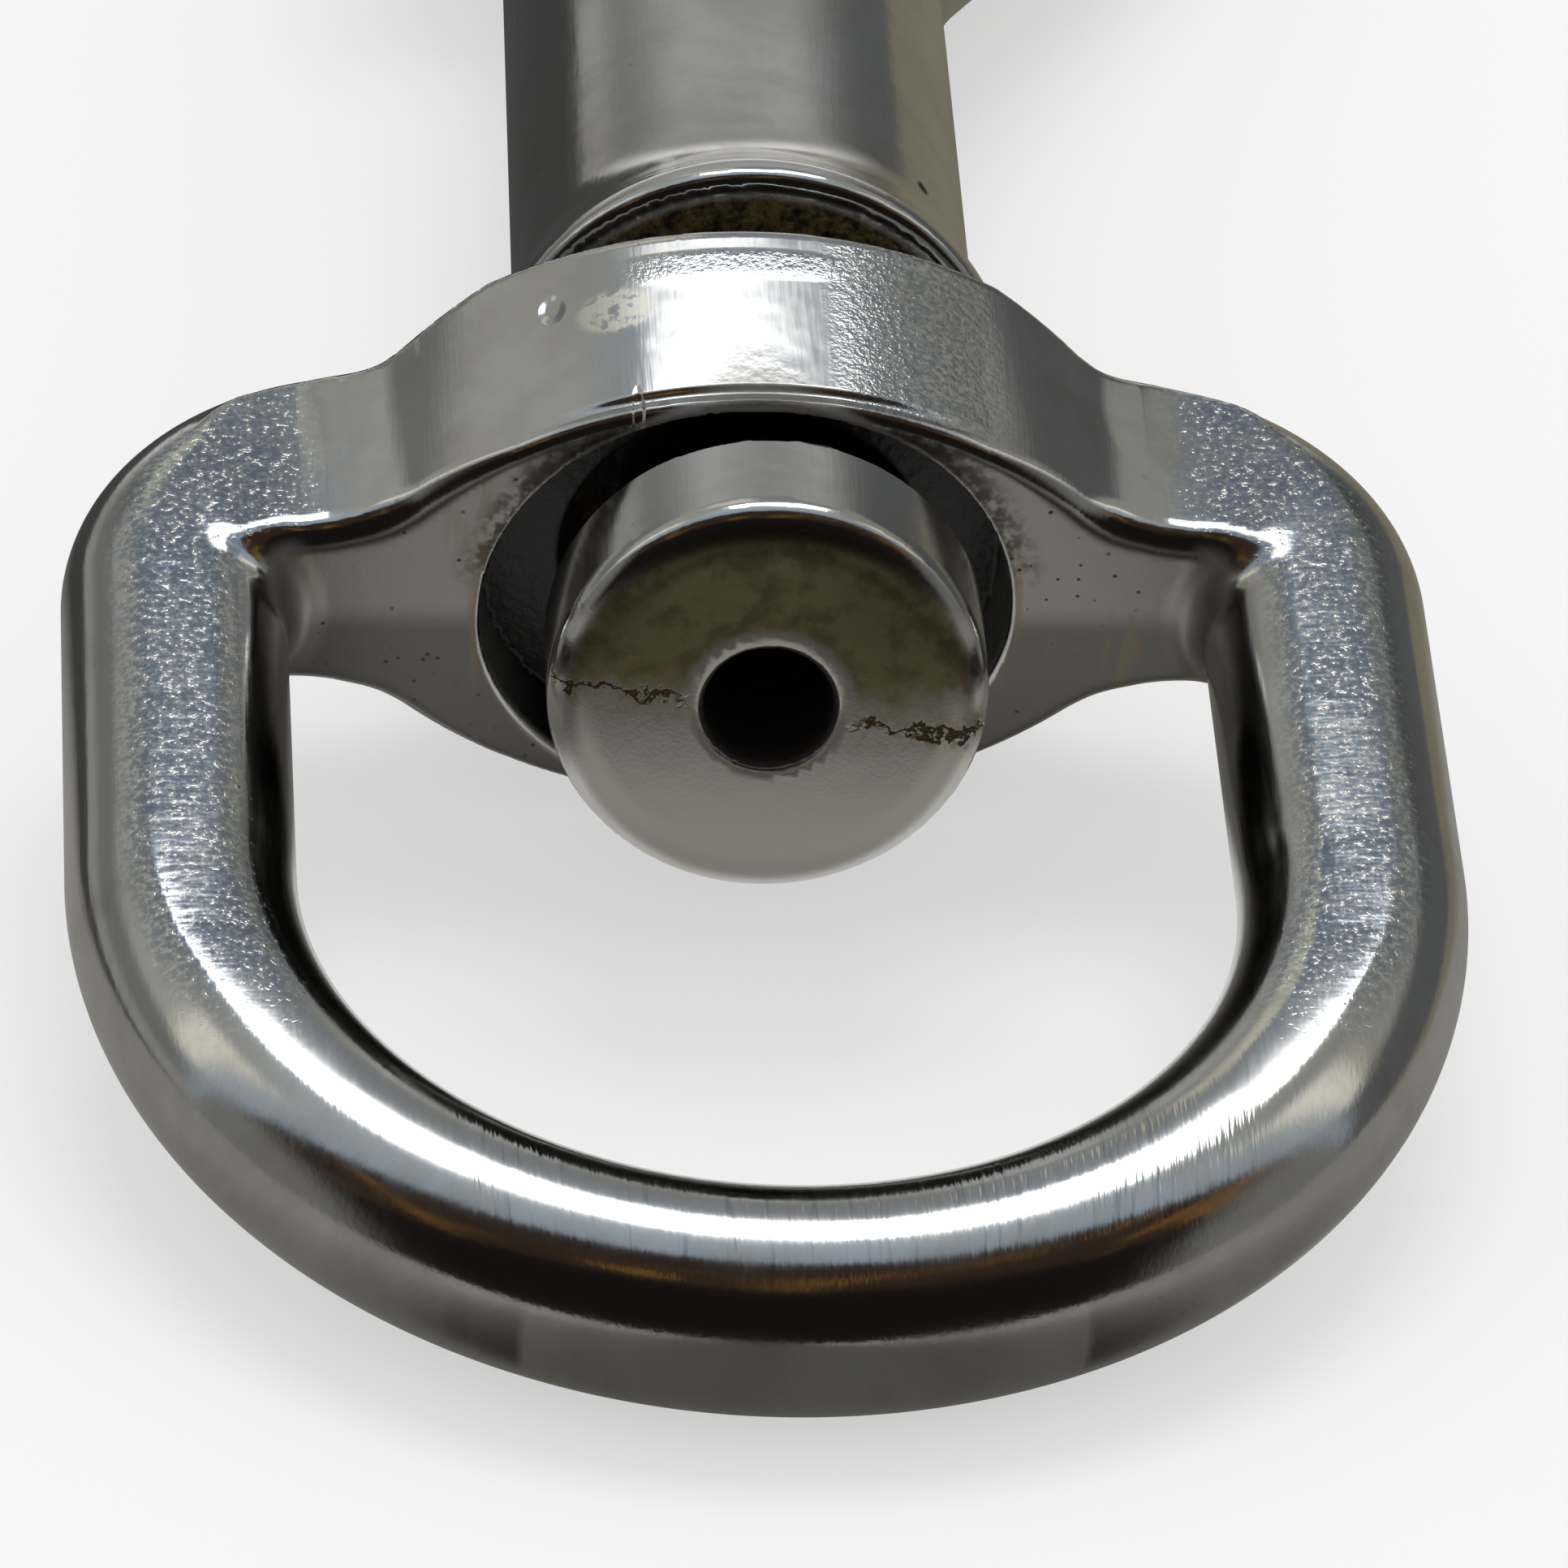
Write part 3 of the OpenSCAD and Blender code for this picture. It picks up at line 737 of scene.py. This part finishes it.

# Thumb knob: a turned and plated button on a stem, pressed into the bolt through the slot.
# The thumb has rubbed its head bright, and its stem is darker near the barrel.
def knob_plating():
    metal = Metal("knob_nickel", body_place, nickel, tarnish, 0.35, 0.12, 0.004, 0.4)
    tree = metal.tree
    # The stem is darker near the barrel.
    stem = rise(tree, metal.across, barrel_d / 2 + 1.0, barrel_d / 2 + 0.2)
    metal.coat(product(tree, stem, 0.7), (0.12, 0.09, 0.05), 0.4)
    return metal.done()


refinish("thumb_knob", knob_plating())

# Studio: a white floor under a tent whose front is in shade, with one soft lamp above and behind. The tent shows only
# in the metal, and so does a grey card round the paper, which is painted shade on the floor as the metal mirrors it.
tent_r = 1.2
table = cad_box[0][2]


def stage_piece(name, make, material, **settings):
    """Adds a mesh that is part of the studio."""
    make(**settings)
    made = bpy.context.active_object
    made.name = name
    made.data.materials.append(material)
    made.location.z += table
    return made


def seen_share(tree):
    """1 for what the camera, a mirror or clear glass sees, 0 for the light that falls on things."""
    path = node(tree, "LightPath").outputs
    mirrored = calc(tree, "MAXIMUM", path["Is Glossy Ray"], path["Is Transmission Ray"])
    return calc(tree, "MAXIMUM", path["Is Camera Ray"], mirrored)


def floor_material():
    """White paper, part of its white given out so that the shadow on it stays light."""
    material = bpy.data.materials.new("floor_white")
    material.use_nodes = True
    tree = material.node_tree
    paper = tree.nodes["Principled BSDF"]
    paper.inputs["Base Color"].default_value = (0.94, 0.94, 0.94, 1)
    paper.inputs["Roughness"].default_value = 1
    paper.inputs["Specular IOR Level"].default_value = 0
    white = node(tree, "Emission", Color=(1, 1, 1, 1), Strength=1.0).outputs[0]
    share = product(tree, seen_share(tree), 0.55)
    both = node(tree, "MixShader", None, i0=share, i1=paper.outputs[0], i2=white).outputs[0]
    tree.links.new(both, tree.nodes["Material Output"].inputs["Surface"])
    return material


def tent_material():
    material = bpy.data.materials.new("tent")
    material.use_nodes = True
    material.cycles.emission_sampling = "NONE"
    tree = material.node_tree
    tree.nodes.clear()
    place = node(tree, "TexCoord").outputs["Object"]
    way = node(tree, "VectorMath", {"operation": "NORMALIZE"}, i0=place).outputs[0]
    x, y, z = split(tree, way)
    turn = calc(tree, "DIVIDE", calc(tree, "ARCTAN2", z, calc(tree, "MULTIPLY", y, -1.0)), math.pi)
    ramp = node(tree, "ValToRGB", Fac=turn)
    stops = (
        (0.0, (0.012, 0.01, 0.01)),
        (0.27, (0.012, 0.01, 0.01)),
        (0.30, (0.045, 0.028, 0.018)),
        (0.42, (0.04, 0.025, 0.018)),
        (0.435, (0.42, 0.5, 0.6)),
        (0.57, (0.6, 0.7, 0.8)),
        (0.69, (0.33, 0.39, 0.46)),
        (0.78, (0.32, 0.34, 0.37)),
        (0.83, (0.33, 0.34, 0.345)),
        (0.85, (0.56, 0.58, 0.58)),
        (0.94, (0.4, 0.405, 0.4)),
        (0.975, (1.0, 1.0, 1.0)),
        (1.0, (1.2, 1.2, 1.2)),
    )
    elements = ramp.color_ramp.elements
    while len(elements) < len(stops):
        elements.new(0.5)
    for element, (at, colour) in zip(elements, stops):
        element.position = at
        element.color = (*colour, 1)
    patch = noise(tree, stretch(tree, way, 7, 3, 9), 1.0, 1, 0.5)
    glow = product(tree, rise(tree, patch, 0.55, 0.62), rise(tree, turn, 0.27, 0.3), rise(tree, turn, 0.43, 0.42))
    colour = blend(tree, glow, ramp.outputs["Color"], (0.22, 0.12, 0.035, 1))
    behind = rise(tree, turn, 0.45, 0.6)
    left = product(tree, rise(tree, x, -0.2, -0.5), behind)
    left_colour = blend(tree, rise(tree, z, 0.36, 0.5), (0.24, 0.245, 0.24, 1), (0.5, 0.505, 0.48, 1))
    left_colour = blend(tree, rise(tree, z, 0.22, 0.1), left_colour, (0.38, 0.38, 0.37, 1))
    colour = blend(tree, left, colour, left_colour)
    right = product(tree, rise(tree, x, 0.2, 0.45), behind)
    right_colour = blend(tree, rise(tree, z, 0.38, 0.52), (0.13, 0.135, 0.14, 1), (0.4, 0.405, 0.38, 1))
    colour = blend(tree, right, colour, right_colour)
    front_side = product(tree, rise(tree, calc(tree, "ABSOLUTE", x), 0.76, 0.92), rise(tree, turn, 0.5, 0.4))
    colour = blend(tree, front_side, colour, (0.25, 0.25, 0.24, 1))
    high = product(tree, rise(tree, turn, 0.51, 0.54), rise(tree, turn, 0.61, 0.58))
    window = product(tree, rise(tree, calc(tree, "ABSOLUTE", x), 0.52, 0.64), rise(tree, calc(tree, "ABSOLUTE", x), 0.95, 0.87), high)
    colour = blend(tree, window, colour, (1.15, 1.13, 1.0, 1))
    corner_glow = product(tree, rise(tree, x, -0.04, -0.1), rise(tree, x, -0.38, -0.28), rise(tree, turn, 0.73, 0.75), rise(tree, turn, 0.82, 0.8))
    colour = blend(tree, corner_glow, colour, (0.85, 0.84, 0.7, 1))
    glow = node(tree, "Emission", Color=colour, Strength=1.0)
    out = tree.nodes.new("ShaderNodeOutputMaterial")
    tree.links.new(glow.outputs[0], out.inputs["Surface"])
    return material


def floor_shade_card_material():
    """Grey card round the white paper, faded out towards the object: seen only in the metal, it gives a grey-beige
    floor there, darkened as painted shade.
    """
    material = bpy.data.materials.new("floor_shade_card")
    material.use_nodes = True
    material.cycles.emission_sampling = "NONE"
    tree = material.node_tree
    tree.nodes.clear()
    x, y, z = split(tree, node(tree, "TexCoord").outputs["Object"])
    off_x = calc(tree, "SUBTRACT", calc(tree, "ABSOLUTE", x), paper_x)
    off_y = calc(tree, "SUBTRACT", calc(tree, "ABSOLUTE", calc(tree, "SUBTRACT", y, paper_mid)), paper_y)
    off_x, off_y = (calc(tree, "MAXIMUM", off, 0.0) for off in (off_x, off_y))
    away = calc(tree, "SQRT", calc(tree, "ADD", product(tree, off_x, off_x), product(tree, off_y, off_y)))
    behind = blend(tree, rise(tree, x, -0.01, 0.02), (0.07, 0.07, 0.07, 1), (0.26, 0.24, 0.18, 1))
    beside = rise(tree, calc(tree, "ABSOLUTE", x), 0.004, 0.026)
    before = blend(tree, beside, (0.13, 0.128, 0.12, 1), (0.36, 0.355, 0.34, 1))
    colour = blend(tree, rise(tree, y, -0.005, -0.025), behind, before)
    clear = tree.nodes.new("ShaderNodeBsdfTransparent").outputs[0]
    grey = node(tree, "Emission", Color=colour, Strength=1.0).outputs[0]
    both = node(tree, "MixShader", None, i0=rise(tree, away, 0.0, card_fade), i1=clear, i2=grey).outputs[0]
    out = tree.nodes.new("ShaderNodeOutputMaterial")
    tree.links.new(both, out.inputs["Surface"])
    return material


ring_low, ring_high = (Vector(corner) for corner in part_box("swivel_eye"))
paper_x = (ring_high.x - ring_low.x) / 2 - 0.008
paper_y = (ring_high.y - ring_low.y) / 2 - 0.010
paper_mid = (ring_high.y + ring_low.y) / 2
card_fade = 0.005
card_lift = 0.0001
floor = stage_piece("floor", bpy.ops.mesh.primitive_circle_add, floor_material(), vertices=96, radius=3 * tent_r, fill_type="NGON")
tent = stage_piece("tent", bpy.ops.mesh.primitive_uv_sphere_add, tent_material(), segments=96, ring_count=48, radius=tent_r)
# The card is painted shade on the floor as the metal mirrors it; the camera does not see it.
card = stage_piece("card", bpy.ops.mesh.primitive_circle_add, floor_shade_card_material(), vertices=96, radius=tent_r, fill_type="NGON")
card.location.z += card_lift
for unseen in (tent, card):
    unseen.visible_camera = False
    unseen.visible_diffuse = False
    unseen.visible_shadow = False

lamp_far = 1.0
lamp_rise = math.radians(67)
lamp_shift = 0.058
lamp = bpy.data.objects.new("softbox", bpy.data.lights.new("softbox", "AREA"))
bpy.context.scene.collection.objects.link(lamp)
lamp.data.shape = "RECTANGLE"
lamp.data.size = 0.66
lamp.data.size_y = 0.38
lamp.data.energy = 4.0 * math.pi * lamp.data.size * lamp.data.size_y
lamp_way = Vector((0, math.cos(lamp_rise), math.sin(lamp_rise)))
lamp.location = hub_centre + lamp_way * lamp_far + Vector((lamp_shift, 0, 0))
lamp.rotation_mode = "QUATERNION"
lamp.rotation_quaternion = lamp_way.to_track_quat("Z", "Y")
lamp.visible_camera = False

world = bpy.data.worlds.new("studio")
bpy.context.scene.world = world
world.use_nodes = True
world.cycles.sampling_method = "NONE"
tree = world.node_tree
strength = calc(tree, "ADD", product(tree, seen_share(tree), 0.35), 0.65)
tree.nodes["Background"].inputs["Color"].default_value = (1, 1, 1, 1)
tree.links.new(strength, tree.nodes["Background"].inputs["Strength"])

# Camera: the photo's own viewpoint, looking down on the eye along the barrel.
image_px = 1932
focal_px = 13564.874
camera = bpy.data.objects.new("camera", bpy.data.cameras.new("camera"))
bpy.context.scene.collection.objects.link(camera)
bpy.context.scene.camera = camera
bearing, height, tilt = (math.radians(a) for a in (-3.89102, 32.13139, 3.63033))
aim = hub_centre + Vector((0.27886, -15.40305, 0)) * MM
far = 265.2594 * MM
back = Vector((math.sin(bearing) * math.cos(height), -math.cos(bearing) * math.cos(height), math.sin(height)))
right = Vector((math.cos(bearing), math.sin(bearing), 0))
up = back.cross(right)
across = math.cos(tilt) * right + math.sin(tilt) * up
upright = -math.sin(tilt) * right + math.cos(tilt) * up
turned = Matrix((across, upright, back)).transposed().to_4x4()
camera.matrix_world = Matrix.Translation(aim + back * far) @ turned
camera.data.sensor_width = 36
camera.data.lens = camera.data.sensor_width * focal_px / image_px
camera.data.clip_start = 0.01
camera.data.clip_end = 10
bpy.context.scene.view_settings.view_transform = "Standard"
